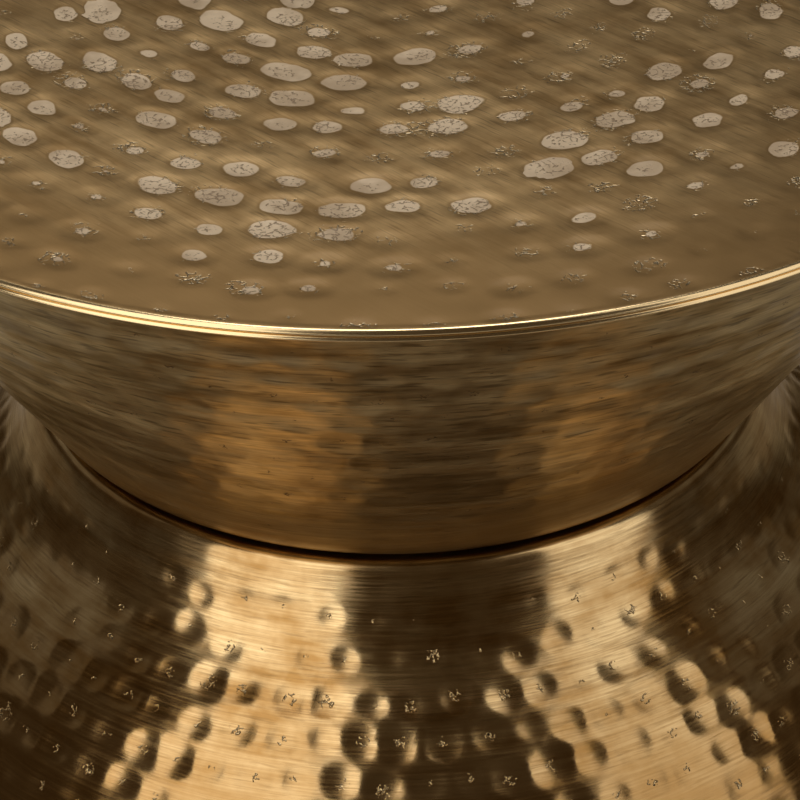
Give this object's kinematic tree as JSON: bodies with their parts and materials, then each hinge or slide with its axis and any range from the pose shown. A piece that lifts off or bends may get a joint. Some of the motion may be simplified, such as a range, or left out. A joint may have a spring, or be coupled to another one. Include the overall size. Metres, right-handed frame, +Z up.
{
  "type": "drum side table",
  "caption": "Round waisted side table of hammered antique-brass sheet: a tapering bowl with a flat top, bolted to a bell-shaped hollow base on rubber feet.",
  "frame": {"origin": "on the floor, on the table's upright axis, at the centre of the circle of feet", "axes": "+Z up along the table's axis of revolution, -Y towards the front, +X to the right seen from the front"},
  "size_m": [0.5504, 0.5504, 0.46],
  "materials": {
    "brass_top": "hammered, straight brushed grain, antique patina, lacquered",
    "brass_bowl": "lightly hammered, brushed round the bowl, antique patina",
    "brass_body": "deeply hammered, brushed neck, antique patina",
    "board": "raw fibreboard",
    "bare_steel": "dull mill steel",
    "zinc_steel": "zinc plated",
    "black_rubber": "matt"
  },
  "bodies": {
    "root": {"top_plate": "brass_top", "top_board": "board", "board_screws": "zinc_steel", "ledge_ring": "bare_steel", "upper_bowl": "brass_bowl", "upper_backing_plate": "bare_steel", "weld_nuts": "zinc_steel", "waist_spacer": "black_rubber", "lower_backing_plate": "bare_steel", "flat_washers": "zinc_steel", "spring_washers": "zinc_steel", "waist_bolts": "zinc_steel", "lower_body": "brass_body", "base_wire": "bare_steel", "base_ring": "bare_steel", "foot_screws": "zinc_steel", "foot_washers": "zinc_steel", "foot_nuts": "zinc_steel", "foot_front_left": "black_rubber", "foot_front_right": "black_rubber", "foot_back_right": "black_rubber", "foot_back_left": "black_rubber"}
  },
  "joints": []
}
